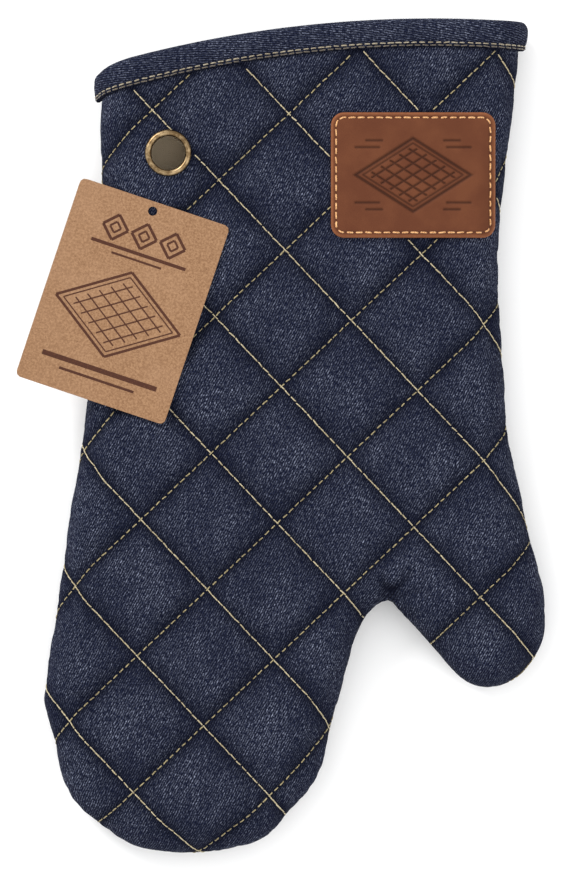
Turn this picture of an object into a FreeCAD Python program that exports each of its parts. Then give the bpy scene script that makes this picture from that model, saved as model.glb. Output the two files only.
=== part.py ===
"""An oven mitt of quilted denim, lying flat on its back panel.

Frame: +Z up from the face it rests on, +Y up the sleeve to the cuff, +X to the thumb.
The origin is on the rest face, in the middle of the palm. All sizes are in millimetres.

The mitt is a stack of nested rounded pads. Each pad is the outline moved in by a depth,
as high as the loft less twice that depth, with its edges rounded over. The material
between two depths is one layer of cloth, and the middle plane parts front from back.
"""
import FreeCAD, Part
import math
import os
import re
import Sketcher

doc = FreeCAD.newDocument("OvenMitt")

# ---------------------------------------------------------------- driving sizes
SIZES = {
    # the stack of the cloth
    "loft": 24.0,               # height of the mitt as it lies
    "edge_flat": 0.2,           # straight part of the side between its two rounded edges
    "denim": 0.9,
    "wadding": 4.2,
    "lining": 0.4,
    # the sleeve and its binding
    "sleeve_length": 156.5,     # from the origin to the cuff's edge, along Y
    "sleeve_run_on": 35.0,      # the pads run this far past the cuff before it is cut
    "cuff_radius": 453.0,       # the cuff's edge is an arc
    "cuff_centre_x": 61.0,
    "binding_width": 9.0,
    "binding_cloth": 0.9,
    "binding_step": 1.2,        # where the denim dips in under the binding
    "binding_row_inset": 0.5,   # from the binding's lower edge to its first row
    "binding_row_gap": 0.5,     # between its two rows
    # sewing
    "quilt_pitch": 37.0,
    "rising_row": 17.5,         # a rising row's distance from the origin
    "falling_row": 9.8,         # a falling row's distance from the origin
    "thread": 0.9,
    "thread_depth": 0.45,
    "row_margin": 6.0,          # no row runs nearer than this to the far edge beside it
    "tool_reach": 700.0,        # cutting tools reach past the whole mitt
    # the leather patch
    "patch_long": 63.0,
    "patch_high": 48.0,
    "patch_corner": 5.0,
    "patch_leather": 1.5,
    "patch_below_cuff": 54.8,   # its middle from the cuff's edge, along Y
    "patch_from_right": 44.2,   # its middle from the sleeve's right side, along X
    "patch_turn": 1.6,
    "patch_row_inset": 2.0,
    # the eyelet
    "eyelet_below_cuff": 48.9,
    "eyelet_from_left": 29.3,
    "eyelet_bore": 6.5,
    "eyelet_wall": 0.7,
    "eyelet_rim_width": 1.55,   # past the tube
    "eyelet_crown": 1.6,
    "eyelet_clearance": 0.2,
    "washer_width": 2.1,
    "washer_sheet": 0.7,
    "curl": 0.8,                # the tube's rolled end under the washer
    # the swing tag
    "tag_wide": 60.0,
    "tag_long": 80.0,
    "tag_corner": 2.0,
    "tag_card": 0.6,
    "tag_hole": 1.8,
    "tag_hole_inset": 3.7,
    "tag_left_of_eyelet": 5.3,  # from the eyelet's middle to the hole
    "tag_below_eyelet": 22.5,
    "tag_turn": -16.9,
    "tag_gap": 0.3,             # from the cloth to the card
}

# The outline's corners, anticlockwise from the cuff's left end: x, y and rounding radius.
# The fingers hang from the knuckle line and the thumb from the crotch line, so that a
# longer palm or a deeper thumb is one change.
SIZES["knuckle_line"] = -103.0
SIZES["crotch_line"] = -59.0
FROM_LINE = {"knuckle": "knuckle_line", "crotch": "crotch_line", "cuff": "sleeve_end"}
CORNERS = [
    # name, x, y from its line, radius, line
    ("cuff_left", -80.5, 0.0, 0.0, "cuff"),
    ("wrist_left", -76.5, 46.0, 300.0, None),
    ("knuckle_left", -94.5, 0.0, 17.0, "knuckle"),
    ("little_finger", -82.5, -41.0, 34.0, "knuckle"),
    ("tip_left", -59.0, -56.0, 38.0, "knuckle"),
    ("tip_right", -32.0, -60.0, 53.0, "knuckle"),
    ("index_tip", -5.0, -51.5, 24.0, "knuckle"),
    ("index_side", 14.0, -27.5, 41.0, "knuckle"),
    ("index_root", 26.5, -16.0, 48.0, "crotch"),
    ("crotch", 36.0, -1.0, 4.0, "crotch"),
    ("thumb_tip", 78.0, -46.0, 20.0, "crotch"),
    ("thumb_side", 100.0, -19.0, 26.0, "crotch"),
    ("thumb_ball", 98.0, 3.5, 30.0, "crotch"),
    ("thumb_root", 83.0, 1.5, 119.0, None),
    ("wrist_right", 76.5, 73.0, 155.0, None),
    ("cuff_right", 87.0, 0.0, 0.0, "cuff"),
]

sheet = doc.addObject("Spreadsheet::Sheet", "sizes")


def put(alias, text):
    """Write one cell of the sheet and give it its alias."""
    put.row += 1
    sheet.set(f"A{put.row}", alias)
    sheet.set(f"B{put.row}", str(text))
    sheet.setAlias(f"B{put.row}", alias)


put.row = 0
for alias, value in SIZES.items():
    put(alias, value)
put("sleeve_end", "=sleeve_length + sleeve_run_on")
for name, x, y, radius, line in CORNERS:
    put(f"{name}_x", x)
    put(f"{name}_y", f"={FROM_LINE[line]} + {y}" if line else y)
    put(f"{name}_radius", radius)
put("wall", "=denim + wadding + lining")
put("patch_x", "=cuff_right_x - patch_from_right")
put("patch_y", "=sleeve_length - patch_below_cuff")
put("eyelet_x", "=cuff_left_x + eyelet_from_left")
put("eyelet_y", "=sleeve_length - eyelet_below_cuff")
put("eyelet_tube", "=eyelet_bore + eyelet_wall")
put("eyelet_hole_radius", "=eyelet_tube + eyelet_clearance")
put("eyelet_rim", "=eyelet_tube + eyelet_rim_width")
put("washer_rim", "=eyelet_hole_radius + washer_width")
put("tag_x", "=eyelet_x - tag_left_of_eyelet")
put("tag_y", "=eyelet_y - tag_below_eyelet")
put("round_over", "=(loft - edge_flat) / 2")
put("cuff_centre_y", "=sleeve_length - sqrt(cuff_radius ^ 2 - cuff_centre_x ^ 2)")
doc.recompute()


def size(alias):
    return float(getattr(sheet, alias))


# ---------------------------------------------------------------- small helpers
def bind(obj, **expressions):
    """Tie properties of an object to the sheet: <wall> in an expression is the sheet's wall."""
    for prop, text in expressions.items():
        obj.setExpression(prop.replace("__", "."), re.sub(r"<(\w+)>", r"sizes.\1", text))


def made(kind, name, **props):
    obj = doc.addObject(kind, name)
    for prop, value in props.items():
        setattr(obj, prop, value)
    return obj


def cut(name, base, tool):
    return made("Part::Cut", name, Base=base, Tool=tool)


def common(name, base, tool):
    return made("Part::Common", name, Base=base, Tool=tool)


def fuse(name, shapes):
    return made("Part::MultiFuse", name, Shapes=shapes)


def body_with_sketch(name, plane="XY_Plane"):
    """A PartDesign body and an empty sketch on one of its own origin planes."""
    body = doc.addObject("PartDesign::Body", name)
    sketch = body.newObject("Sketcher::SketchObject", f"{name}_sketch")
    planes = [f for f in body.Origin.OriginFeatures if f.Role == plane]
    sketch.AttachmentSupport = [(planes[0], "")]
    sketch.MapMode = "FlatFace"
    return body, sketch


# ---------------------------------------------------------------- the outline
def rounded_corner(before, corner, after, radius):
    """The tangent points and the centre of a corner's arc."""
    there = (before - corner).normalize()
    onward = (after - corner).normalize()
    half = there.getAngle(onward) / 2
    run = radius / math.tan(half)
    middle = (there + onward).normalize()
    return corner + there * run, corner + onward * run, corner + middle * (radius / math.sin(half))


def arc_between(start, end, centre):
    """The short arc from start to end about a centre, with the sense that turns left."""
    radius = (start - centre).Length
    middle = ((start + end) / 2 - centre).normalize() * radius + centre
    return Part.Arc(start, middle, end)


def outline_sketch():
    """The mitt's outline: straight sides with every corner rounded, fully constrained."""
    sketch = doc.addObject("Sketcher::SketchObject", "outline")
    names = [corner[0] for corner in CORNERS]
    points = [FreeCAD.Vector(size(f"{n}_x"), size(f"{n}_y"), 0) for n in names]
    radii = [size(f"{n}_radius") for n in names]
    count = len(names)
    ends = []
    for i, radius in enumerate(radii):
        if radius:
            ends.append(rounded_corner(points[i - 1], points[i], points[(i + 1) % count], radius))
        else:
            ends.append((points[i], points[i], None))
    sides = []
    for i in range(count):
        side = Part.LineSegment(ends[i][1], ends[(i + 1) % count][0])
        sides.append(sketch.addGeometry(side, False))
    for i, name in enumerate(names):
        before, after = sides[i - 1], sides[i]
        start, end, centre = ends[i]
        if centre is None:
            sketch.addConstraint(Sketcher.Constraint("Coincident", before, 2, after, 1))
            place = (after, 1)
        else:
            arc = sketch.addGeometry(arc_between(start, end, centre), False)
            turns_left = (points[i] - points[i - 1]).cross(points[(i + 1) % count] - points[i]).z > 0
            first, last = (1, 2) if turns_left else (2, 1)
            sketch.addConstraint(Sketcher.Constraint("Tangent", before, 2, arc, first))
            sketch.addConstraint(Sketcher.Constraint("Tangent", arc, last, after, 1))
            corner = sketch.addGeometry(Part.Point(points[i]), True)
            sketch.addConstraint(Sketcher.Constraint("PointOnObject", corner, 1, before))
            sketch.addConstraint(Sketcher.Constraint("PointOnObject", corner, 1, after))
            at = sketch.addConstraint(Sketcher.Constraint("Radius", arc, radii[i]))
            sketch.setExpression(f"Constraints[{at}]", f"sizes.{name}_radius")
            place = (corner, 1)
        for axis in ("x", "y"):
            value = getattr(points[i], axis)
            rule = Sketcher.Constraint(f"Distance{axis.upper()}", -1, 1, *place, value)
            at = sketch.addConstraint(rule)
            sketch.setExpression(f"Constraints[{at}]", f"sizes.{name}_{axis}")
    return sketch


outline = outline_sketch()
doc.recompute()


# ---------------------------------------------------------------- the nested pads
def pad_at(name, depth):
    """The rounded pad whose surface lies a depth under the mitt's own (above it if negative)."""
    plan = made("Part::Offset2D", f"{name}_plan", Source=outline, Join="Intersection", Mode="Pipe")
    bind(plan, Value=f"-1 * ({depth})")
    block = made("Part::Extrusion", f"{name}_block", Base=plan, DirMode="Custom", Solid=True)
    block.Dir = FreeCAD.Vector(0, 0, 1)
    bind(block, LengthFwd=f"<loft> - 2 * ({depth})", Placement__Base__z=depth)
    doc.recompute()
    flat = [
        number
        for number, edge in enumerate(block.Shape.Edges, 1)
        if edge.BoundBox.ZLength < 1e-6 and edge.BoundBox.YMin < block.Shape.BoundBox.YMax - 1e-6
    ]
    radius = size("round_over") - (block.Placement.Base.z)
    return made("Part::Fillet", name, Base=block, Edges=[(n, radius, radius) for n in flat])


skin = pad_at("pad_skin", "0")
under_thread = pad_at("pad_under_thread", "<thread_depth>")
under_denim = pad_at("pad_under_denim", "<denim>")
under_seam = pad_at("pad_under_seam", "<denim> + <thread>")
under_wadding = pad_at("pad_under_wadding", "<denim> + <wadding>")
under_lining = pad_at("pad_under_lining", "<wall>")
under_binding = pad_at("pad_under_binding", "<binding_cloth>")
under_dip = pad_at("pad_under_dip", "<binding_cloth> + <denim>")
under_facing = pad_at("pad_under_facing", "<wall> + <binding_cloth>")
over_patch = pad_at("pad_over_patch", "-<patch_leather>")
under_patch_thread = pad_at("pad_under_patch_thread", "-<patch_leather> + <thread_depth>")


# ---------------------------------------------------------------- cutting tools
def cuff_disc(name, inset):
    """Everything more than an inset below the cuff's edge, as seen from above."""
    disc = made("Part::Cylinder", name)
    bind(disc, Radius=f"<cuff_radius> - ({inset})", Height="2 * <loft>")
    bind(disc, Placement__Base__x="<cuff_centre_x>", Placement__Base__y="<cuff_centre_y>")
    bind(disc, Placement__Base__z="-<loft> / 2")
    return disc


def half_space(name, bottom, height):
    """A box over the whole mitt between two heights."""
    box = made("Part::Box", name)
    bind(box, Length="<tool_reach>", Width="<tool_reach>", Height=height)
    bind(box, Placement__Base__x="-<tool_reach> / 2", Placement__Base__y="-<tool_reach> / 2")
    bind(box, Placement__Base__z=bottom)
    return box


inside_cuff = cuff_disc("inside_cuff", "0")
inside_fold = cuff_disc("inside_fold", "<binding_cloth>")
below_binding = cuff_disc("below_binding", "<binding_width>")
below_dip = cuff_disc("below_dip", "<binding_width> + <binding_step>")
front_half = half_space("front_half", "<loft> / 2", "<loft>")
back_half = half_space("back_half", "-<loft> / 2", "<loft>")
seam_level = half_space("seam_level", "(<loft> - <thread>) / 2", "<thread>")

eyelet_hole = made("Part::Cylinder", "eyelet_hole")
bind(eyelet_hole, Radius="<eyelet_hole_radius>", Height="<loft>")
bind(eyelet_hole, Placement__Base__x="<eyelet_x>", Placement__Base__y="<eyelet_y>")
bind(eyelet_hole, Placement__Base__z="<loft> / 2")
doc.recompute()


# ---------------------------------------------------------------- the cuff's binding
def binding_strip():
    """One strip folded over the raw edge of both panels, flush with the denim outside."""
    shell = cut("binding_shell", skin, under_facing)
    band = cut("binding_band", common("binding_blank", shell, inside_cuff), below_binding)
    stack = cut("binding_stack", under_binding, under_lining)
    return cut("binding_folded", band, common("binding_room", stack, inside_fold))


def binding_row(name, inset):
    """A row of stitches all round the binding, an inset above its lower edge."""
    shell = cut(f"{name}_shell", skin, under_thread)
    outer = cuff_disc(f"{name}_outer", f"<binding_width> - ({inset}) - <thread>")
    inner = cuff_disc(f"{name}_inner", f"<binding_width> - ({inset})")
    return cut(name, common(f"{name}_band", shell, outer), inner)


binding_folded = binding_strip()
binding_rows = fuse("binding_rows", [
    binding_row("lower_row", "<binding_row_inset>"),
    binding_row("upper_row", "<binding_row_inset> + <thread> + <binding_row_gap>"),
])


# ---------------------------------------------------------------- the layers of the wall
collar = cut("collar", cut("collar_shell", skin, under_dip), below_dip)
collar_denim = common("collar_denim", cut("collar_left", collar, binding_folded), inside_fold)
panel_shell = common("panel_shell", cut("denim_shell", skin, under_denim), below_dip)
denim_layer = fuse("denim_layer", [panel_shell, collar_denim])

wadding_shell = common("wadding_shell", cut("wadding_blank", under_denim, under_wadding), inside_fold)
wadding_layer = cut("wadding_layer", wadding_shell, collar)
lining_layer = common("lining_layer", cut("lining_shell", under_wadding, under_lining), inside_fold)

seam_ring = common("seam_ring", cut("seam_shell", under_denim, under_seam), seam_level)
seam_thread = cut("seam_thread", common("seam_in_mitt", seam_ring, inside_fold), collar)


# ---------------------------------------------------------------- the quilting
def reach_across(normal):
    """How far the mitt reaches along a direction, from its lowest to its highest point."""
    turned = skin.Shape.common(inside_cuff.Shape)
    heading = math.degrees(math.atan2(normal[1], normal[0]))
    turned.rotate(FreeCAD.Vector(), FreeCAD.Vector(0, 0, 1), -heading)
    return turned.BoundBox.XMin, turned.BoundBox.XMax


def quilting(name, first_row, angle):
    """Parallel rows across the mitt, one quilt pitch apart, as slabs standing on edge."""
    along = (math.cos(math.radians(angle)), math.sin(math.radians(angle)))
    normal = (-along[1], along[0])
    low, high = reach_across(normal)
    pitch, start, margin = size("quilt_pitch"), size(first_row), size("row_margin")
    lowest = math.ceil((low + margin - start) / pitch)
    highest = math.floor((high - margin - start) / pitch)
    rows = []
    for number in range(lowest, highest + 1):
        row = made("Part::Box", f"{name}_{number - lowest + 1}")
        bind(row, Length="<tool_reach>", Width="<thread>", Height="2 * <loft>")
        off = f"(<{first_row}> + {number} * <quilt_pitch> - <thread> / 2)"
        bind(row, Placement__Base__x=f"{normal[0]} * {off} - {along[0]} * <tool_reach> / 2")
        bind(row, Placement__Base__y=f"{normal[1]} * {off} - {along[1]} * <tool_reach> / 2")
        bind(row, Placement__Base__z="-<loft> / 2")
        row.Placement.Rotation = FreeCAD.Rotation(FreeCAD.Vector(0, 0, 1), angle)
        rows.append(row)
    return fuse(f"{name}_slabs", rows)


thread_shell = common("thread_shell", cut("thread_blank", skin, under_thread), below_binding)
rising_slabs = quilting("rising", "rising_row", 45)
falling_slabs = quilting("falling", "falling_row", -45)
rising_threads = common("rising_threads", thread_shell, rising_slabs)
falling_all = common("falling_all", thread_shell, falling_slabs)
falling_threads = cut("falling_threads", falling_all, rising_slabs)
grooves = fuse("grooves", [rising_threads, falling_all])


# ---------------------------------------------------------------- the leather patch
def rounded_rectangle(sketch, inset):
    """The patch's outline, moved in by an inset, centred on the sketch's origin."""
    half_x = size("patch_long") / 2 - inset
    half_y = size("patch_high") / 2 - inset
    radius = size("patch_corner") - inset
    rounded_box(sketch, -half_x, half_x, -half_y, half_y, radius)


def rounded_box(sketch, left, right, bottom, top, radius):
    """Four sides and four quarter arcs, anticlockwise."""
    quarter = math.pi / 2
    centres = [(right - radius, top - radius), (left + radius, top - radius),
               (left + radius, bottom + radius), (right - radius, bottom + radius)]
    arcs = []
    for turn, (x, y) in enumerate(centres):
        circle = Part.Circle(FreeCAD.Vector(x, y, 0), FreeCAD.Vector(0, 0, 1), radius)
        arcs.append(Part.ArcOfCircle(circle, turn * quarter, (turn + 1) * quarter))
    for turn, arc in enumerate(arcs):
        following = arcs[(turn + 1) % 4]
        sketch.addGeometry(arc, False)
        sketch.addGeometry(Part.LineSegment(arc.EndPoint, following.StartPoint), False)


def patch_prism(name, insets):
    """A block of the patch's outline, or a ring of it, standing through the front panel."""
    body, sketch = body_with_sketch(name)
    for inset in insets:
        rounded_rectangle(sketch, inset)
    pad = body.newObject("PartDesign::Pad", f"{name}_pad")
    pad.Profile = sketch
    bind(pad, Length="<loft>")
    body.Placement.Rotation = FreeCAD.Rotation(FreeCAD.Vector(0, 0, 1), size("patch_turn"))
    bind(body, Placement__Base__x="<patch_x>", Placement__Base__y="<patch_y>")
    bind(body, Placement__Base__z="<loft> / 2")
    return body


patch_block = patch_prism("patch_block", [0])
row_inset = size("patch_row_inset")
patch_ring = patch_prism("patch_ring", [row_inset, row_inset + size("thread")])
patch_shell = cut("patch_shell", over_patch, skin)
patch_thread_shell = cut("patch_thread_shell", over_patch, under_patch_thread)
patch_thread = common("patch_thread", patch_thread_shell, patch_ring)
patch_blank = common("patch_blank", patch_shell, patch_block)


# ---------------------------------------------------------------- the eyelet and its washer
def revolved(name, start, steps):
    """A ring turned about Z from a profile: a start point and steps that are lines or arcs."""
    body, sketch = body_with_sketch(name, "XZ_Plane")
    here = FreeCAD.Vector(*start, 0)
    for step in steps:
        there = FreeCAD.Vector(*step[-1], 0)
        if len(step) == 1:
            sketch.addGeometry(Part.LineSegment(here, there), False)
        else:
            sketch.addGeometry(Part.Arc(here, FreeCAD.Vector(*step[0], 0), there), False)
        here = there
    turn = body.newObject("PartDesign::Revolution", f"{name}_turn")
    turn.Profile = sketch
    turn.ReferenceAxis = (sketch, ["V_Axis"])
    turn.Angle = 360
    bind(body, Placement__Base__x="<eyelet_x>", Placement__Base__y="<eyelet_y>")
    bind(body, Placement__Base__z="<loft>")
    return body


def eyelet_body():
    """A crowned rim on the denim, a tube through the front wall and a curled end below."""
    bore, rim, crown = size("eyelet_bore"), size("eyelet_rim"), size("eyelet_crown")
    tube = size("eyelet_tube")
    under_washer = -(size("wall") + size("washer_sheet"))
    end = under_washer - size("curl")
    lip = tube + size("curl")
    throat = crown / 3
    return revolved("eyelet", (bore, end), [
        [(bore, throat)],
        [((bore + rim) / 2, crown), (rim, 0)],
        [(tube, 0)],
        [(tube, under_washer)],
        [(lip, under_washer)],
        [(lip, end)],
        [(bore, end)],
    ])


def washer_body():
    """The flat ring that the tube's end is curled over, under the lining."""
    hole, rim = size("eyelet_hole_radius"), size("washer_rim")
    top = -size("wall")
    bottom = top - size("washer_sheet")
    return revolved("eyelet_washer", (hole, bottom), [
        [(rim, bottom)],
        [(rim, top)],
        [(hole, top)],
        [(hole, bottom)],
    ])


# ---------------------------------------------------------------- the swing tag
def tag_body():
    """A card with rounded corners and a punched hole, which is its own origin."""
    body, sketch = body_with_sketch("swing_tag")
    half = size("tag_wide") / 2
    top = size("tag_hole_inset")
    rounded_box(sketch, -half, half, top - size("tag_long"), top, size("tag_corner"))
    hole = Part.Circle(FreeCAD.Vector(), FreeCAD.Vector(0, 0, 1), size("tag_hole"))
    at = sketch.addGeometry(hole, False)
    sketch.addConstraint(Sketcher.Constraint("Coincident", at, 3, -1, 1))
    rule = sketch.addConstraint(Sketcher.Constraint("Radius", at, size("tag_hole")))
    sketch.setExpression(f"Constraints[{rule}]", "sizes.tag_hole")
    pad = body.newObject("PartDesign::Pad", "swing_tag_pad")
    pad.Profile = sketch
    bind(pad, Length="<tag_card>")
    body.Placement.Rotation = FreeCAD.Rotation(FreeCAD.Vector(0, 0, 1), size("tag_turn"))
    bind(body, Placement__Base__x="<tag_x>", Placement__Base__y="<tag_y>")
    bind(body, Placement__Base__z="<loft> + <tag_gap>")
    return body


# ---------------------------------------------------------------- the pieces
def front(name, layer):
    """A layer's front half, with the eyelet's hole through it."""
    return cut(name, common(f"{name}_whole", layer, front_half), eyelet_hole)


def back(name, layer):
    return common(name, layer, back_half)


denim_sewn = cut("denim_sewn", denim_layer, grooves)
wadding_sewn = cut("wadding_sewn", wadding_layer, seam_thread)
PIECES = {
    "front_denim_panel": front("front_denim_panel", denim_sewn),
    "back_denim_panel": back("back_denim_panel", denim_sewn),
    "front_wadding": front("front_wadding", wadding_sewn),
    "back_wadding": back("back_wadding", wadding_sewn),
    "front_lining": front("front_lining", lining_layer),
    "back_lining": back("back_lining", lining_layer),
    "side_seam_thread": seam_thread,
    "front_quilting_rising": front("front_quilting_rising", rising_threads),
    "front_quilting_falling": front("front_quilting_falling", falling_threads),
    "back_quilting_rising": back("back_quilting_rising", rising_threads),
    "back_quilting_falling": back("back_quilting_falling", falling_threads),
    "cuff_binding": cut("cuff_binding", binding_folded, binding_rows),
    "binding_stitching": common("binding_stitching", binding_rows, inside_cuff),
    "leather_patch": cut("leather_patch", patch_blank, patch_thread),
    "patch_stitching": patch_thread,
    "eyelet": eyelet_body(),
    "eyelet_washer": washer_body(),
    "swing_tag": tag_body(),
}
doc.recompute()

failed = [o.Name for o in doc.Objects if {"Invalid", "Error"} & set(o.State)]
if failed:
    raise RuntimeError(f"these objects failed: {failed}")
for name, piece in PIECES.items():
    piece.Label = name
    if piece.Shape.isNull() or not piece.Shape.isValid():
        raise RuntimeError(f"{name} has no valid shape")

os.makedirs("parts", exist_ok=True)
for name, piece in PIECES.items():
    piece.Shape.exportStep(f"parts/{name}.step")
    print(f"{name}: {len(piece.Shape.Solids)} solids, {piece.Shape.Volume:.0f} mm3")
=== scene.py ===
"""The looks of the oven mitt: quilted denim, threads, leather, brass and card around the CAD frame.

Everything is in metres in the frame's own axes. The two panels are cut flat, in the plane where the
quilting is a square lattice, and then wrapped over the mitt's rounded sides.
"""
import math
import bmesh
import bpy
import numpy as np
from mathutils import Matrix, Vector, geometry, noise
from mathutils.bvhtree import BVHTree


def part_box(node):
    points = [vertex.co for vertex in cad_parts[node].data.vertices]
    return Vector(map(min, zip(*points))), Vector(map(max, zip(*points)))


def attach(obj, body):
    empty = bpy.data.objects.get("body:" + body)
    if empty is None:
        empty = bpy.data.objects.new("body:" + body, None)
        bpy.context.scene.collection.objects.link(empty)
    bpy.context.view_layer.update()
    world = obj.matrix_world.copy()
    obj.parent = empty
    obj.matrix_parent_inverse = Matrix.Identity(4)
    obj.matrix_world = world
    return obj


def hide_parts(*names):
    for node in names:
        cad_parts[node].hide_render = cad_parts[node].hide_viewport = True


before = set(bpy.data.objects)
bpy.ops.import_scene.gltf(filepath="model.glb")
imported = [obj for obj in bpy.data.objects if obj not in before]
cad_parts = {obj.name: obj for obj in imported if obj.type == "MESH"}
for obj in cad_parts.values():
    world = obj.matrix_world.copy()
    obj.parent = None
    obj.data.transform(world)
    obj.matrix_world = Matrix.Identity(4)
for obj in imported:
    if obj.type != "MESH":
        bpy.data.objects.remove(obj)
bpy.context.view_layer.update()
MM = 0.001

# ---- sizes shared with the CAD
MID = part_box("front_lining")[0][2]  # the seam's height
LOFT = 2 * MID
ROUND = 0.99 * MID  # radius of the rounded sides
LINING_DEPTH = 5.1 * MM  # the lining's outer face under the skin
LINING_INNER = 5.5 * MM  # and its inner face
DENIM = 0.9 * MM
PITCH = 37.0 * MM
RISING, FALLING = 17.5 * MM, 9.8 * MM  # each set's first row, from the origin
CUFF_RADIUS = 453.0 * MM  # the cuff's edge is an arc
CUFF_CENTRE = np.array(Vector((61.0 * MM, 156.5 * MM - math.sqrt(453.0 ** 2 - 61.0 ** 2) * MM)))
BINDING = 9.0 * MM
EYELET = np.array(Vector([sum(side) / 2 for side in zip(*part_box("eyelet"))])[:2])
EYELET_HOLE = 7.4 * MM
PATCH_SIZE = (63.0 * MM, 48.0 * MM)
PATCH_CENTRE = np.array(Vector((42.8 * MM, 101.7 * MM)))
PATCH_TURN = math.radians(1.6)
TAG_TURN = math.radians(-16.9)
TAG_HOLE = np.array(Vector((-56.5 * MM, 85.1 * MM)))
TAG_SIZE = (60.0 * MM, 80.0 * MM)

# ---- sizes of the look
VALLEY = 2.9 * MM  # how deep the quilting rows pull in
SEAM_VALLEY = 0.9 * MM  # and how deep at the side seam
GRID = PITCH / 20  # the panels' mesh
SEAM_TUCK = 0.75 * MM  # how far the seam draws the edges in
TUCK_REACH = 1.6 * MM
VIEW_ROLL = math.radians(1.6)
VIEW_CENTRE = (-1.46 * MM, -2.92 * MM)
VIEW_HEIGHT = 341.8 * MM
VIEW_DISTANCE = 4.0
FLOOR_GAP = 0.02 * MM  # nothing reaches lower than this
CROWN_TOP = LOFT + 0.1 * MM  # the tag and the patch lie just above
KEY_LIGHT = ((-1.2, 1.25, 1.0), 0.8, 31)  # where it is, its side and its power
FILL_LIGHT = ((0.9, -0.5, 2.0), 2.2, 16)
SKY_STRENGTH = 1.15
FLOOR_SIDE = 6.0
FLOOR_TONE = 0.93


# ---- lines and meshes
def norms(rows):
    """The length of each row."""
    return np.linalg.norm(rows, axis=1)


def lengths_along(line):
    """How far along a line each of its points is."""
    return np.concatenate([[0], np.cumsum(norms(np.diff(line, axis=0)))])


def points_along(line, lengths, wanted):
    """The points at the wanted lengths along a line."""
    return np.column_stack([np.interp(wanted, lengths, column) for column in line.T])


def evenly(line, step):
    """The same line with points a step apart."""
    lengths = lengths_along(line)
    count = max(2, round(lengths[-1] / step) + 1)
    return points_along(line, lengths, np.linspace(0, lengths[-1], count))


def on_circle(centre, radius, angles):
    return centre + radius * np.column_stack([np.cos(angles), np.sin(angles)])


def smooth(low, high, x):
    t = np.clip((x - low) / (high - low), 0, 1)
    return t * t * (3 - 2 * t)


def rotated(points, angle):
    c, s = math.cos(angle), math.sin(angle)
    return points @ np.array([[c, s], [-s, c]])


def new_mesh(name, points, faces):
    mesh = bpy.data.meshes.new(name)
    mesh.from_pydata(points, [], faces)
    return mesh


def filled(rings, grid, hole=None):
    """Triangles between closed rings and loose points; hole is the middle and radius left open."""
    edges, first = [], 0
    for ring in rings:
        edges += [(first + k, first + (k + 1) % len(ring)) for k in range(len(ring))]
        first += len(ring)
    points = [Vector(point) for point in np.vstack([*rings, grid])]
    made = geometry.delaunay_2d_cdt(points, edges, [], 1, 1e-7)
    at = np.array([point[:] for point in made[0]])
    faces = [list(face) for face in made[2]]
    if hole:
        middle, radius = hole
        faces = [face for face in faces if np.linalg.norm(at[face].mean(0) - middle) > radius * 0.97]
    return at, faces


def closed_mesh(name, top, base, faces):
    """The faces at the top, the same ones turned over at the base, and walls between their rims."""
    count = len(top)
    ways = {way: None for face in faces for way in zip(face, face[1:] + face[:1])}
    solid = faces + [[k + count for k in reversed(face)] for face in faces]
    solid += [[b, a, a + count, b + count] for a, b in ways if (b, a) not in ways]
    return new_mesh(name, np.vstack([top, base]), solid)


# ---- camera, lights and floor
def linked(name, data):
    """A new object in the scene."""
    made = bpy.data.objects.new(name, data)
    bpy.context.scene.collection.objects.link(made)
    return made


def add_camera():
    data = bpy.data.cameras.new("camera")
    camera = linked("camera", data)
    camera.location = (*VIEW_CENTRE, MID + VIEW_DISTANCE)
    camera.rotation_euler = (0, 0, VIEW_ROLL)
    data.sensor_fit = "VERTICAL"
    data.sensor_height = 24
    data.lens = data.sensor_height * VIEW_DISTANCE / VIEW_HEIGHT
    bpy.context.scene.camera = camera


def area_light(name, place, side, power):
    """A soft light that looks at the frame's origin."""
    data = bpy.data.lights.new(name, "AREA")
    data.shape, data.size, data.size_y, data.energy = "RECTANGLE", side, side, power
    light = linked(name, data)
    light.location = place
    light.rotation_euler = (-Vector(place)).to_track_quat("-Z", "Y").to_euler()


def add_lights():
    area_light("key", *KEY_LIGHT)
    area_light("fill", *FILL_LIGHT)
    world = bpy.data.worlds.new("studio")
    world.use_nodes = True
    sky = world.node_tree.nodes["Background"]
    sky.inputs["Color"].default_value = (1, 1, 1, 1)
    sky.inputs["Strength"].default_value = SKY_STRENGTH
    bpy.context.scene.world = world
    bpy.context.scene.view_settings.view_transform = "Standard"


def add_floor():
    half = FLOOR_SIDE / 2
    corners = [(-half, -half, 0), (half, -half, 0), (half, half, 0), (-half, half, 0)]
    floor = linked("floor", new_mesh("floor", corners, [(0, 1, 2, 3)]))
    paint = bpy.data.materials.new("floor_paint")
    paint.use_nodes = True
    shader = paint.node_tree.nodes["Principled BSDF"]
    shader.inputs["Base Color"].default_value = (FLOOR_TONE, FLOOR_TONE, FLOOR_TONE, 1)
    shader.inputs["Roughness"].default_value = 0.9
    floor.data.materials.append(paint)


add_camera()
add_lights()
add_floor()


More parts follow.
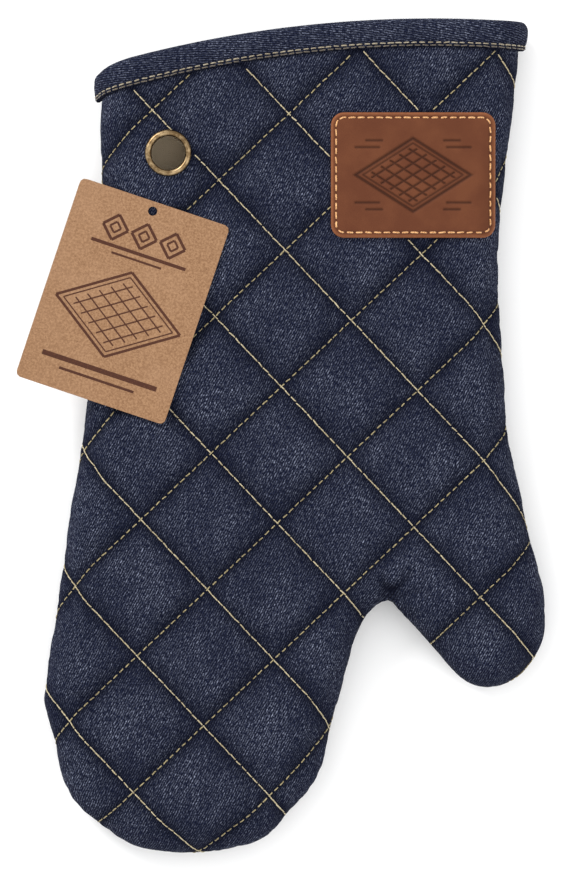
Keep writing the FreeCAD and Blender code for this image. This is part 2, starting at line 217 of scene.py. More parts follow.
# ---- the outline, from the lining
def seam_path():
    """The lining's outer edge at the seam's height, from the cuff round the fingers and back."""
    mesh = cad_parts["front_lining"].data
    level = {v.index for v in mesh.vertices if abs(v.co.z - MID) < 0.02 * MM}
    uses = {}
    for face in mesh.polygons:
        if all(i in level for i in face.vertices):
            for key in face.edge_keys:
                uses[key] = uses.get(key, 0) + 1
    links = {}
    for (a, b), count in uses.items():
        if count == 1:
            links.setdefault(a, []).append(b)
            links.setdefault(b, []).append(a)
    first = next(iter(links))
    loop = [first, links[first][0]]
    while loop[-1] != first:
        a, b = links[loop[-1]]
        loop.append(b if a == loop[-2] else a)
    points = np.array([mesh.vertices[i].co[:2] for i in loop[:-1]])
    ahead = np.roll(points, -1, axis=0) - points
    behind = np.roll(ahead, 1, axis=0)
    bend = (ahead * behind).sum(1) / norms(ahead) / norms(behind)
    points = np.roll(points, -int(bend.argmin()), axis=0)
    ends = np.sort(np.argsort(np.roll(bend, -int(bend.argmin())))[:4])
    closed = np.vstack([points, points[:1]])
    paths = [closed[a:b + 1] for a, b in zip(ends, [*ends[1:], len(points)])]
    return max(paths, key=lambda path: norms(np.diff(path, axis=0)).sum())


def rounded_line(points, rounds):
    """Corner cutting, with both ends kept."""
    for _ in range(rounds):
        quarter = 0.75 * points[:-1] + 0.25 * points[1:]
        three = 0.25 * points[:-1] + 0.75 * points[1:]
        middle = np.stack([quarter, three], axis=1).reshape(-1, 2)
        points = np.vstack([points[:1], middle, points[-1:]])
    return points


def run_on(points, length):
    """The line made longer at both ends, past the cuff."""
    ends = []
    for last, before in ((points[0], points[1]), (points[-1], points[-2])):
        ends.append(last + (last - before) / np.linalg.norm(last - before) * length)
    return np.vstack([ends[0], points, ends[1]])


def ways_in(line):
    """The way into the mitt, square to each step of the outline."""
    step = np.diff(line, axis=0)
    ways = np.stack([-step[:, 1], step[:, 0]], axis=1) / np.sqrt((step ** 2).sum(1))[:, None]
    beside = len(line) // 4
    return -ways if ways[beside] @ -line[beside] < 0 else ways


PATH = evenly(rounded_line(run_on(seam_path(), 25 * MM), 2), 1.0 * MM)
PATH_STEP = np.diff(PATH, axis=0)
PATH_STEP_SQUARE = (PATH_STEP ** 2).sum(1)
PATH_IN = ways_in(PATH)


def side_field(points):
    """How far each point in plan is inside the skin's outline, and the way inwards there."""
    inside, inwards = np.empty(len(points)), np.empty((len(points), 2))
    for start in range(0, len(points), 4000):
        part = slice(start, start + 4000)
        rel = points[part, None] - PATH[None, :-1]
        along = np.clip((rel * PATH_STEP).sum(2) / PATH_STEP_SQUARE, 0, 1)
        gap = rel - along[:, :, None] * PATH_STEP
        far = np.linalg.norm(gap, axis=2)
        near = far.argmin(1)
        rows = np.arange(len(near))
        gap, far, way = gap[rows, near], far[rows, near], PATH_IN[near]
        sign = np.where((gap * way).sum(1) < 0, -1.0, 1.0)
        inside[part] = sign * far + LINING_DEPTH
        clear = far > 0.3 * MM
        inwards[part] = np.where(clear[:, None], gap * sign[:, None] / np.maximum(far, 1e-9)[:, None], way)
    return inside, inwards


# ---- wrapping flat cloth
BORDER = (math.pi / 2 - 1) * ROUND  # the cut cloth reaches this far past the outline
CROTCH_BORDER = 2.6 * MM  # and only this far in the thumb's crotch
CROTCH_REACH = 13 * MM
PINCH = 1.9 * MM  # the stitches draw the crotch to a point
PINCH_WIDE, PINCH_LONG = 2.6 * MM, 7 * MM


def sharpest_inner_bend():
    """Where the outline turns hardest away from the mitt's inside: the thumb's crotch."""
    span = 6
    ahead = PATH[2 * span:] - PATH[span:-span]
    behind = PATH[span:-span] - PATH[:-2 * span]
    turn = ahead[:, 0] * behind[:, 1] - ahead[:, 1] * behind[:, 0]
    k = int((turn * -np.sign(turn.mean())).argmax()) + span
    return PATH[k] - PATH_IN[k] * LINING_DEPTH, PATH_IN[k]


def run_field(points):
    """How far the cloth has run from the seam at each point, inside, and the way inwards."""
    inside, inwards = side_field(points)
    near = np.exp(-(norms(points - CROTCH) / CROTCH_REACH) ** 4)
    squeeze = 1 - (1 - CROTCH_BORDER / BORDER) * near
    run = np.where(inside < 0, inside / squeeze, inside) + BORDER
    return run, inside, inwards


CROTCH, CROTCH_IN = sharpest_inner_bend()


def pinched(plan):
    """The plan with the cloth drawn up into a point at the thumb's crotch."""
    rel = plan - CROTCH
    along = rel @ CROTCH_IN
    across = norms(rel - along[:, None] * CROTCH_IN)
    near = np.exp(-(across / PINCH_WIDE) ** 2 - (along / PINCH_LONG) ** 2)
    return plan + PINCH * near[:, None] * CROTCH_IN


def wrap(flat, side, depth, tuck=SEAM_TUCK):
    """Where points of the cut cloth lie, a depth under the skin, and the skin's normals there.

    side is 1 for the front and -1 for the back; tuck is how far the edge is drawn in at the seam.
    """
    flat = np.asarray(flat, float)
    run, inside, inwards = run_field(flat)
    turn = np.clip(run / ROUND, 0, math.pi / 2)
    radius = ROUND - depth
    edge = np.where(run < ROUND * math.pi / 2, depth + radius * (1 - np.cos(turn)), inside)
    edge = edge + tuck * np.exp(-np.maximum(run, 0) / TUCK_REACH)
    plan = pinched(flat + inwards * (edge - inside)[:, None])
    flank = (LOFT / 2 - ROUND) * smooth(0, 2 * MM, run)
    height = MID + side * (flank + radius * np.sin(turn))
    normal = np.column_stack([-inwards * np.cos(turn)[:, None], side * np.sin(turn)])
    return np.column_stack([plan, height]), normal


def lattice(flat):
    """Lattice coordinates: across the falling rows and across the rising ones."""
    return (flat[:, 0] + flat[:, 1]) / math.sqrt(2), (flat[:, 1] - flat[:, 0]) / math.sqrt(2)


def off_lattice(u, v):
    """Points in plan from their lattice coordinates."""
    return np.column_stack([u - v, u + v]) / math.sqrt(2)


def off_row(across, first):
    """Distance to the nearest row of a set."""
    return np.abs((across - first + PITCH / 2) % PITCH - PITCH / 2)


def below_cuff(flat):
    """How far below the cuff's edge a point of the cloth is."""
    return CUFF_RADIUS - norms(flat - CUFF_CENTRE)


def ripple(flat, size, seed):
    """Smooth noise from -1 to 1 over the cloth, the same at every run."""
    return np.array([noise.noise(Vector((x / size, y / size, seed))) for x, y in flat])


def off_patch(flat):
    """How far outside the leather patch a point is, less than 0 inside."""
    turned = rotated(flat - PATCH_CENTRE, -PATCH_TURN)
    over = np.abs(turned) - np.array(PATCH_SIZE) / 2
    return norms(np.maximum(over, 0)) + np.minimum(over.max(1), 0)


# Folds that run up from the thumb's crotch: how far each runs in mm, and how deep it is.
FOLDS = (((9.5, 13.0), 1.0), ((-3.0, 10.5), 0.9), ((16.0, 6.0), 0.55))
FOLD_DEPTH, FOLD_WIDE = 3.2 * MM, 1.9 * MM
FOLD_SWELL, SWELL_WIDE = 1.3 * MM, 5 * MM  # the cloth stands up beside each fold
PUFF_SHAPE = 0.62  # lower is fuller near the rows
WAVES, WAVE_LONG, WAVE_SHORT = 0.35 * MM, 19 * MM, 8 * MM
UNDER_BINDING = 1.15 * MM  # the depths where something lies on the cloth
UNDER_EYELET = 0.12 * MM
UNDER_PATCH = 0.3 * MM


def folds(flat, wide):
    """How deep in one of the crotch's folds a point is, from 0 to 1, fading along the fold."""
    deepest = np.zeros(len(flat))
    for reach, strength in FOLDS:
        a = CROTCH + CROTCH_IN * 1 * MM
        b = a + np.array(reach) * MM
        share = np.clip((flat - a) @ (b - a) / ((b - a) @ (b - a)), 0, 1)
        off = norms(flat - a - share[:, None] * (b - a))
        deepest = np.maximum(deepest, strength * np.exp(-(off / wide) ** 2) * (1 - share) ** 0.4)
    return deepest


def puff(off):
    """How full the cloth is at a distance from a row: 0 on it, 1 midway to the next."""
    return np.sin(np.clip(off / (PITCH / 2), 0, 1) * math.pi / 2) ** PUFF_SHAPE


def quilted_depth(flat, seed, front_side):
    """How far the skin is pulled in by the quilting, the binding, the seam and the eyelet."""
    u, v = lattice(flat)
    full = puff(off_row(u, FALLING)) * puff(off_row(v, RISING))
    run = run_field(flat)[0]
    deep = SEAM_VALLEY + (VALLEY - SEAM_VALLEY) * smooth(1 * MM, 16 * MM, run)
    depth = deep * (1 - full)
    waves = ripple(flat, WAVE_LONG, seed) + 0.6 * ripple(flat, WAVE_SHORT, seed + 5)
    depth += WAVES * waves * smooth(0, 9 * MM, run)
    depth += 0.25 * MM + FOLD_DEPTH * folds(flat, FOLD_WIDE) - FOLD_SWELL * folds(flat, SWELL_WIDE)
    cuff = smooth(BINDING - 2 * MM, BINDING + 12 * MM, below_cuff(flat))
    depth = UNDER_BINDING * (1 - cuff) + depth * cuff
    if not front_side:
        return np.maximum(depth, 0)
    calm = smooth(8.6 * MM, 17 * MM, norms(flat - EYELET))
    depth = UNDER_EYELET * (1 - calm) + np.maximum(depth, 0) * calm
    calm = smooth(-1.0 * MM, 7 * MM, off_patch(flat))
    return UNDER_PATCH * (1 - calm) + depth * calm


# ---- meshes from flat cloth
LATTICE_REACH = 0.26  # rows this far out still cross the mitt
MITT_REACH = 0.19  # nothing is further from the origin in x or y
HOLE_ANGLES = np.linspace(0, 2 * math.pi, 33)[:-1]


def flat_border(cuff_inset, step=GRID):
    """The cut cloth's edge, from the cuff round the fingers and back, and along the cuff."""
    inwards = side_field(PATH)[1]
    low = np.full(len(PATH), LINING_DEPTH)
    high = low + BORDER
    for _ in range(24):
        middle = (low + high) / 2
        out = run_field(PATH - inwards * middle[:, None])[0] < 0
        low, high = np.where(out, low, middle), np.where(out, middle, high)
    edge = PATH - inwards * low[:, None]
    edge = edge[run_field(edge)[0] < 0.25 * MM]
    edge = edge[below_cuff(edge) > cuff_inset]
    edge = evenly(edge, step)
    first, last = [math.atan2(*(end - CUFF_CENTRE)[::-1]) for end in (edge[-1], edge[0])]
    radius = CUFF_RADIUS - cuff_inset
    count = round(abs(last - first) * radius / step)
    return np.vstack([edge, on_circle(CUFF_CENTRE, radius, np.linspace(first, last, count + 1))])


def with_row_ends(loop):
    """The loop with a point added wherever a quilting row crosses it."""
    out = []
    for a, b in zip(loop, np.roll(loop, -1, axis=0)):
        out.append(a)
        cuts = []
        for k, first in ((0, FALLING), (1, RISING)):
            low, high = lattice(np.array([a, b]))[k] - first
            row = math.ceil(min(low, high) / PITCH)
            if row * PITCH < max(low, high):
                cuts.append((row * PITCH - low) / (high - low))
        out += [a + (b - a) * t for t in sorted(cuts) if 0.02 < t < 0.98]
    return np.array(out)


def cloth_mesh(name, cuff_inset, hole=None, step=GRID):
    """Flat cloth as a mesh whose edges follow the quilting rows; hole is an eyelet's radius."""
    rings = [with_row_ends(flat_border(cuff_inset, step))]
    steps = int(LATTICE_REACH / step)
    i, j = np.meshgrid(np.arange(-steps, steps + 1), np.arange(-steps, steps + 1))
    grid = off_lattice(FALLING + i.ravel() * step, RISING + j.ravel() * step)
    grid = grid[below_cuff(grid) > cuff_inset + 0.5 * step]
    grid = grid[np.abs(grid).max(1) < MITT_REACH]
    grid = grid[run_field(grid)[0] > 0.5 * step]
    if hole:
        grid = grid[norms(grid - EYELET) > hole + 0.5 * step]
        rings.append(on_circle(EYELET, hole, HOLE_ANGLES))
    flat, faces = filled(rings, grid, (EYELET, hole) if hole else None)
    bm = bmesh.new()
    verts = [bm.verts.new((x, y, 0)) for x, y in flat]
    for face in faces:
        bm.faces.new([verts[k] for k in face])
    loose = [v for v in bm.verts if not v.link_faces]
    bmesh.ops.delete(bm, geom=loose, context="VERTS")
    bmesh.ops.join_triangles(bm, faces=bm.faces[:], angle_face_threshold=0.1, angle_shape_threshold=0.5)
    mesh = bpy.data.meshes.new(name)
    bm.to_mesh(mesh)
    bm.free()
    return mesh


def coordinates(mesh):
    out = np.empty(len(mesh.vertices) * 3, np.float32)
    mesh.vertices.foreach_get("co", out)
    return out.reshape(-1, 3).astype(float)


def set_coordinates(mesh, points):
    mesh.vertices.foreach_set("co", np.asarray(points, np.float32).ravel())
    mesh.update()


def keep_cut(mesh, flat):
    """Store where each point was in the flat cloth, for the weave."""
    layer = mesh.attributes.new("cut", "FLOAT_VECTOR", "POINT")
    points = np.column_stack([flat, np.zeros(len(flat))])
    layer.data.foreach_set("vector", points.astype(np.float32).ravel())


def keep_number(mesh, name, values):
    layer = mesh.attributes.new(name, "FLOAT", "POINT")
    layer.data.foreach_set("value", np.asarray(values, np.float32))


def placed(name, mesh, body, material, nodes=()):
    """A visible piece that rides on a body and stands for CAD nodes."""
    piece = linked(name, mesh)
    for face in mesh.polygons:
        face.use_smooth = True
    mesh.materials.clear()
    mesh.materials.append(material)
    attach(piece, body)
    if nodes:
        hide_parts(*nodes)
    return piece


def turned_over(mesh):
    bm = bmesh.new()
    bm.from_mesh(mesh)
    bmesh.ops.reverse_faces(bm, faces=bm.faces[:])
    bm.to_mesh(mesh)
    bm.free()


# ---- materials
def material(name):
    mat = bpy.data.materials.new(name)
    mat.use_nodes = True
    return mat, Nodes(mat.node_tree)


class Nodes:
    """A short way to write a node tree: each call adds a node and returns its output."""

    def __init__(self, tree):
        self.tree = tree
        self.shader = tree.nodes["Principled BSDF"]

    def add(self, kind, values=(), output=0, **settings):
        node = self.tree.nodes.new(kind)
        for key, value in settings.items():
            setattr(node, key, value)
        items = values.items() if isinstance(values, dict) else enumerate(values)
        for key, value in items:
            if isinstance(value, bpy.types.NodeSocket):
                self.tree.links.new(value, node.inputs[key])
            else:
                node.inputs[key].default_value = value
        return node.outputs[output]

    def cut_mm(self):
        """Where the point was in the flat cloth, in millimetres."""
        return self.times(self.add("ShaderNodeAttribute", output=1, attribute_name="cut"), (1000,) * 3)

    def stored(self, name):
        return self.add("ShaderNodeAttribute", output=2, attribute_name=name)

    def place(self):
        return self.add("ShaderNodeTexCoord", output=3)

    def times(self, vector, factors):
        return self.add("ShaderNodeVectorMath", [vector, factors], operation="MULTIPLY")

    def turned(self, vector, angle):
        values = {"Vector": vector, "Angle": angle}
        return self.add("ShaderNodeVectorRotate", values, rotation_type="Z_AXIS")

    def math(self, operation, *values):
        return self.add("ShaderNodeMath", values, operation=operation)

    def ramp(self, value, low, high):
        """0 below low, 1 above high and smooth between."""
        values = [value, low, high, 0.0, 1.0]
        return self.add("ShaderNodeMapRange", values, interpolation_type="SMOOTHSTEP")

    def mix(self, factor, a, b):
        """A colour from a to b."""
        return self.add("ShaderNodeMix", {0: factor, 6: a, 7: b}, 2, data_type="RGBA")

    def noise(self, vector, scale, detail=2.0, rough=0.5):
        values = {"Vector": vector, "Scale": scale, "Detail": detail, "Roughness": rough}
        return self.add("ShaderNodeTexNoise", values)

    def set(self, **values):
        for key, value in values.items():
            self.shader.inputs[key.replace("_", " ")].default_value = value

    def link(self, socket, value):
        self.tree.links.new(value, self.shader.inputs[socket])

    def bump(self, height, strength, distance):
        values = {"Height": height, "Strength": strength, "Distance": distance}
        self.link("Normal", self.add("ShaderNodeBump", values))


SHADE = 0.87  # the studio is bright, so every colour is this much darker than it looks


def rgb(r, g, b):
    """A display colour, 0 to 255, as a linear one with alpha."""
    line = [c / 255 for c in (r, g, b)]
    return (*[SHADE * (((c + 0.055) / 1.055) ** 2.4 if c > 0.04045 else c / 12.92) for c in line], 1)


def denim_material(name, streak_turn=0.0):
    """Indigo twill: steep ribs, pale flecks where the weft shows, and painted shade along the quilting rows
    and in the folds.
    """
    mat, n = material(name)
    # painted shade stored on the points: along the quilting rows and the crotch's folds, or at the binding's
    # fold and stitching row
    crease_shade = n.stored("crease_shade")
    mm = n.cut_mm()
    rib = n.turned(mm, -TWILL_TURN - streak_turn)
    along, across = [n.add("ShaderNodeSeparateXYZ", [rib], output=k) for k in (0, 1)]
    wobble = n.math("MULTIPLY", n.noise(mm, 0.3, 2), 0.9)
    phase = n.math("MULTIPLY", n.math("ADD", across, wobble), 2 * math.pi / TWILL_PITCH)
    ribs = n.math("MULTIPLY_ADD", n.math("SINE", phase), 0.5, 0.5)
    stretched = [n.math("MULTIPLY", along, 0.72), n.math("MULTIPLY", across, 1.9), 0.0]
    picks = n.noise(n.add("ShaderNodeCombineXYZ", stretched), 1.0, 3, 0.75)
    picks = n.ramp(picks, 0.42, 0.64)
    salt = n.ramp(n.noise(mm, 1.4, 2, 0.75), 0.4, 0.66)
    slub = n.noise(n.times(mm, (1.0, 0.06, 1.0)), 1.0, 3, 0.65)
    cloud = n.noise(mm, 0.05, 4, 0.6)
    pale = n.math("MULTIPLY", n.math("MULTIPLY", picks, n.math("MULTIPLY_ADD", ribs, 0.95, 0.05)),
                  n.math("MULTIPLY_ADD", salt, 0.8, 0.2))
    wear_and_shade = n.math("MULTIPLY", n.math("MULTIPLY_ADD", n.ramp(slub, 0.3, 0.7), 0.6, 0.6),
                  n.math("MULTIPLY_ADD", n.ramp(cloud, 0.35, 0.68), 0.6, 0.6))
    # painted shade: the random wear shows fewer pale flecks where the painted crease shade lies
    wear_and_shade = n.math("MULTIPLY", wear_and_shade, n.math("MULTIPLY_ADD", crease_shade, -0.8, 1.0))
    body = n.mix(n.math("MULTIPLY", ribs, n.math("MULTIPLY_ADD", salt, 0.7, 0.3)), DENIM_DARK, DENIM_MID)
    worn_and_shaded = n.mix(n.math("MULTIPLY", pale, wear_and_shade), body, DENIM_PALE)
    # painted shade: the colour is drawn towards a dark shade colour along the rows and in the folds
    n.link("Base Color", n.mix(n.math("MULTIPLY", crease_shade, 0.62), worn_and_shaded, DENIM_PAINTED_SHADE))
    n.set(Roughness=0.95, Specular_IOR_Level=0.04)
    height = n.math("ADD", n.math("MULTIPLY", ribs, 0.7), n.math("MULTIPLY", picks, 0.5))
    n.bump(n.math("ADD", height, n.math("MULTIPLY", slub, 0.5)), 0.7, 0.0003)
    return mat


def thread_material(name, colour, dark, sheen=0.3):
    """Twisted sewing thread: fine turns across the strand and a slight change from stitch to stitch."""
    mat, n = material(name)
    place = n.place()
    twist = n.noise(place, 2600.0, 2)
    tone = n.noise(place, 60.0, 2)
    base = n.mix(n.ramp(twist, 0.35, 0.62), dark, colour)
    n.link("Base Color", n.mix(n.math("MULTIPLY", n.ramp(tone, 0.4, 0.65), 0.35), base, dark))
    n.set(Roughness=0.6, Sheen_Weight=sheen, Specular_IOR_Level=0.35)
    n.bump(twist, 0.4, 0.0001)
    return mat


def cotton_material(name, colour, dark, pitch):
    """Plain-woven cotton: threads over and under in both directions."""
    mat, n = material(name)
    mm = n.cut_mm()
    ways = [n.add("ShaderNodeSeparateXYZ", [mm], output=k) for k in (0, 1)]
    wave = [n.math("SINE", n.math("MULTIPLY", way, 2 * math.pi / pitch)) for way in ways]
    weave = n.math("MULTIPLY_ADD", n.math("MULTIPLY", *wave), 0.5, 0.5)
    fibre = n.noise(mm, 1.4, 3)
    tone = n.math("MULTIPLY_ADD", weave, 0.4, n.math("MULTIPLY", fibre, 0.6))
    n.link("Base Color", n.mix(tone, dark, colour))
    n.set(Roughness=0.95, Specular_IOR_Level=0.2, Sheen_Weight=0.1)
    n.bump(n.math("ADD", weave, fibre), 0.4, 0.00015)
    return mat


def wadding_material():
    mat, n = material("wadding")
    place = n.place()
    fluff = n.noise(place, 700.0, 5, 0.7)
    n.link("Base Color", n.mix(fluff, rgb(200, 196, 184), rgb(244, 241, 232)))
    n.set(Roughness=1.0, Specular_IOR_Level=0.1)
    n.bump(fluff, 0.6, 0.0006)
    return mat


def leather_material():
    """Smooth brown leather: fine grain, cloudy colour and an orange burnish near the edge."""
    mat, n = material("leather")
    mm = n.cut_mm()
    cells = n.add("ShaderNodeTexVoronoi", {"Vector": mm, "Scale": 1.9})
    pores = n.noise(mm, 3.5, 3, 0.6)
    cloud = n.noise(mm, 0.07, 3, 0.55)
    base = n.mix(n.ramp(cloud, 0.35, 0.7), rgb(92, 50, 30), rgb(103, 59, 36))
    base = n.mix(n.math("MULTIPLY", n.ramp(pores, 0.45, 0.7), 0.55), base, rgb(74, 37, 20))
    patchy = n.math("MULTIPLY_ADD", n.noise(mm, 0.8, 3), 0.9, 0.3)
    base = n.mix(n.math("MULTIPLY", n.stored("edge"), patchy), base, rgb(156, 98, 62))
    n.link("Base Color", n.mix(n.stored("stamped"), base, rgb(30, 12, 8)))
    n.set(Roughness=0.74, Specular_IOR_Level=0.14)
    n.bump(n.math("ADD", n.math("MULTIPLY", cells, 0.5), pores), 0.22, 0.00012)
    return mat


def brass_material():
    mat, n = material("brass")
    place = n.place()
    blotch = n.noise(place, 420.0, 4, 0.6)
    scratch = n.noise(n.times(place, (900, 5200, 900)), 1.0, 2)
    n.link("Base Color", n.mix(n.ramp(blotch, 0.35, 0.7), rgb(112, 90, 62), rgb(176, 152, 116)))
    n.link("Roughness", n.math("MULTIPLY_ADD", blotch, 0.3, 0.18))
    n.set(Metallic=1.0)
    n.bump(scratch, 0.12, 0.00005)
    return mat


def kraft_material():
    """Brown card with a fine grain and pale and dark flecks."""
    mat, n = material("kraft_card")
    mm = n.times(n.place(), (1000,) * 3)
    fibre = n.noise(n.times(n.turned(mm, 0.5), (0.5, 1.7, 1.0)), 1.0, 4, 0.7)
    grain = n.noise(mm, 1.25, 4, 0.75)
    cloud = n.noise(mm, 0.06, 2)
    fleck = n.noise(mm, 1.9, 1)
    base = n.mix(n.ramp(grain, 0.36, 0.66), rgb(130, 96, 69), rgb(160, 124, 93))
    base = n.mix(n.math("MULTIPLY", n.ramp(fibre, 0.5, 0.7), 0.3), base, rgb(119, 86, 62))
    base = n.mix(n.math("MULTIPLY", n.ramp(cloud, 0.4, 0.7), 0.25), base, rgb(163, 128, 100))
    fleck = n.math("MULTIPLY", n.ramp(fleck, 0.68, 0.74), 0.6)
    n.link("Base Color", n.mix(fleck, base, rgb(92, 60, 40)))
    n.set(Roughness=0.9, Specular_IOR_Level=0.15)
    n.bump(n.math("ADD", fibre, grain), 0.15, 0.0001)
    return mat


def ink_material():
    mat, n = material("tag_ink")
    place = n.place()
    speck = n.noise(place, 1800.0, 3)
    n.link("Base Color", n.mix(n.ramp(speck, 0.5, 0.75), rgb(66, 32, 16), rgb(88, 50, 28)))
    n.set(Roughness=0.8, Specular_IOR_Level=0.3)
    return mat


TWILL_TURN = math.radians(64)
BINDING_TURN = math.radians(-54)  # the binding is cut across the panels' weave
TWILL_PITCH = 0.85  # mm
DENIM_DARK = rgb(9, 12, 27)
DENIM_MID = rgb(31, 37, 62)
DENIM_PALE = rgb(152, 159, 181)
# the colour of the painted shade in the creases along the rows and folds
DENIM_PAINTED_SHADE = rgb(7, 8, 17)
CREAM, CREAM_DARK = rgb(204, 192, 158), rgb(146, 130, 94)
MAT = {
    "denim": denim_material("denim"),
    "binding_denim": denim_material("binding_denim", BINDING_TURN),
    "falling_thread": thread_material("quilting_thread", CREAM, CREAM_DARK),
    "rising_thread": thread_material("rising_thread", rgb(176, 162, 118), rgb(110, 98, 66)),
    "upper_thread": thread_material("binding_upper_thread", rgb(172, 162, 138), rgb(112, 100, 78)),
    "lower_thread": thread_material("binding_lower_thread", rgb(104, 92, 72), rgb(58, 52, 46)),
    "patch_thread": thread_material("patch_thread", rgb(236, 184, 124), rgb(176, 116, 62)),
    "seam_thread": thread_material("seam_thread", rgb(22, 26, 44), rgb(10, 12, 22), 0.0),
    "lining": cotton_material("lining", rgb(214, 200, 176), rgb(176, 160, 136), 0.7),
    "wadding": wadding_material(),
    "leather": leather_material(),
    "brass": brass_material(),
    "kraft": kraft_material(),
    "ink": ink_material(),
}


# ---- the layers of the wall
def row_shade(off):
    """How much painted shade a row puts on the cloth at a distance from it."""
    return 0.75 * np.exp(-off / (1.9 * MM)) + 0.25 * np.exp(-off / (5.5 * MM))


def painted_crease_shade(flat):
    """How much painted shade lies on the cloth, 1 on a quilting row, with more in the crotch's folds."""
    u, v = lattice(flat)
    off = off_row(u, FALLING), off_row(v, RISING)
    rows = row_shade(np.minimum(*off)) + 0.35 * row_shade(np.maximum(*off))
    return np.clip(rows + 1.1 * folds(flat, 1.6 * MM), 0, 1)


SIM_SCALE = 10  # cloth settles best at this scale
SIM_FRAMES = 20
SIM_GROWTH = 0.035  # the cloth is cut this much larger than its place
SIM_PRESSURE = 6.0
SIM_LIMIT = 1.4 * MM  # no point moves further
ON_ROW = 0.02 * MM
CROWN_SOFT = 0.6 * MM  # the crown's limit is soft over this height
PANEL_INSET = 2.5 * MM  # the panels start this far under the cuff's edge
WADDING_INSET = 3.2 * MM
LINING_INSET = 2.6 * MM


def settled(mesh, pinned):
    """Where a quilted cloth's points come to rest, pushed from inside and held at the pinned ones."""
    start = coordinates(mesh)
    copy = mesh.copy()
    set_coordinates(copy, start * SIM_SCALE)
    cloth = linked("settling", copy)
    group = cloth.vertex_groups.new(name="held")
    group.add(np.flatnonzero(pinned).tolist(), 1.0, "REPLACE")
    settings = cloth.modifiers.new("cloth", "CLOTH").settings
    settings.vertex_group_mass = "held"
    settings.quality = 4
    settings.mass = 0.15
    settings.air_damping = 3
    settings.tension_stiffness = settings.compression_stiffness = 18
    settings.shear_stiffness = 4
    settings.bending_stiffness = 0.05
    settings.shrink_min = -SIM_GROWTH
    settings.use_pressure = True
    settings.uniform_pressure_force = SIM_PRESSURE
    settings.effector_weights.gravity = 0
    scene = bpy.context.scene
    for number in range(1, SIM_FRAMES + 1):
        scene.frame_set(number)
    done = cloth.evaluated_get(bpy.context.evaluated_depsgraph_get()).to_mesh()
    moved = coordinates(done) / SIM_SCALE - start
    scene.frame_set(1)
    bpy.data.objects.remove(cloth)
    bpy.data.meshes.remove(copy)
    return start + moved * np.minimum(1, SIM_LIMIT / np.maximum(norms(moved), 1e-9))[:, None]


def held_points(flat, side):
    """Which points of a panel the stitches, the seam, the binding, the eyelet and the patch hold."""
    u, v = lattice(flat)
    held = (off_row(u, FALLING) < ON_ROW) | (off_row(v, RISING) < ON_ROW)
    held |= (run_field(flat)[0] < 1.5 * MM) | (below_cuff(flat) < BINDING + 1 * MM)
    if side > 0:
        held |= norms(flat - EYELET) < 10.5 * MM
        held |= off_patch(flat) < 0.5 * MM
    return held


def under_crown(points, side):
    """The points with those near or past the crown's height eased back under it."""
    over = side * (points[:, 2] - MID) - (CROWN_TOP - MID - CROWN_SOFT)
    back = over - CROWN_SOFT * (1 - np.exp(-np.maximum(over, 0) / CROWN_SOFT))
    points[:, 2] -= side * np.where(over > 0, back, 0)
    points[:, 2] = np.maximum(points[:, 2], FLOOR_GAP)
    return points


def denim_panel(name, side, seed):
    """One quilted denim panel, with its turned-in edge at the seam."""
    mesh = cloth_mesh(name, PANEL_INSET, EYELET_HOLE if side > 0 else None)
    flat = coordinates(mesh)[:, :2]
    points, _ = wrap(flat, side, quilted_depth(flat, seed, side > 0))
    set_coordinates(mesh, points)
    if side < 0:
        turned_over(mesh)
    set_coordinates(mesh, under_crown(settled(mesh, held_points(flat, side)), side))
    keep_cut(mesh, flat)
    # painted shade along the quilting rows and the crotch's folds, for the denim's colour
    keep_number(mesh, "crease_shade", painted_crease_shade(flat))
    piece = placed(f"{name}_denim", mesh, "mitt", MAT["denim"], [f"{name}_denim_panel"])
    fine = piece.modifiers.new("fine", "SUBSURF")
    fine.levels = fine.render_levels = 1
    thicken(piece, DENIM)
    return piece


def thicken(piece, thickness):
    thick = piece.modifiers.new("thick", "SOLIDIFY")
    thick.thickness, thick.offset = thickness, -1


def layered(name, side, seed, outer, inner, inset, tuck):
    """A closed soft layer; outer and inner give its depths from the panel's own and the place."""
    sheet = cloth_mesh(name, inset, EYELET_HOLE if side > 0 else None, PITCH / 10)
    flat = coordinates(sheet)[:, :2]
    own = quilted_depth(flat, seed, side > 0)
    faces = [list(face.vertices) for face in sheet.polygons]
    bpy.data.meshes.remove(sheet)
    top, _ = wrap(flat, side, outer(own, flat), tuck)
    base, _ = wrap(flat, side, inner(own, flat), 0.0)
    mesh = closed_mesh(name, top, base, faces)
    keep_cut(mesh, np.vstack([flat, flat]))
    if side < 0:
        turned_over(mesh)
    return mesh


def wadding_top(own, flat):
    """The wadding's outer depth: just under the denim, and thinner in the thumb's crotch."""
    near = np.exp(-(norms(flat - CROTCH) / (14 * MM)) ** 2)
    return np.minimum(own + 1.05 * MM + 2.2 * MM * near, 4.6 * MM)


def wadding_base(own, flat):
    return np.full(len(flat), 5.0 * MM)


def lining_top(own, flat):
    return LINING_DEPTH + 0.25 * own


def lining_base(own, flat):
    return LINING_INNER + 0.25 * own


def add_soft_layers(word, side, seed):
    name = f"{word}_wadding_fill"
    mesh = layered(name, side, seed, wadding_top, wadding_base, WADDING_INSET, 0.9 * MM)
    filling = placed(name, mesh, "mitt", MAT["wadding"], [f"{word}_wadding"])
    name = f"{word}_lining_cloth"
    mesh = layered(name, side, seed, lining_top, lining_base, LINING_INSET, 0.0)
    cotton = placed(name, mesh, "mitt", MAT["lining"], [f"{word}_lining"])


# each side's word, way and the number that its ripples grow from
SIDES = (("front", 1, 3.0), ("back", -1, 11.0))
PANELS = {word: denim_panel(word, side, seed) for word, side, seed in SIDES}
for each in SIDES:
    add_soft_layers(*each)


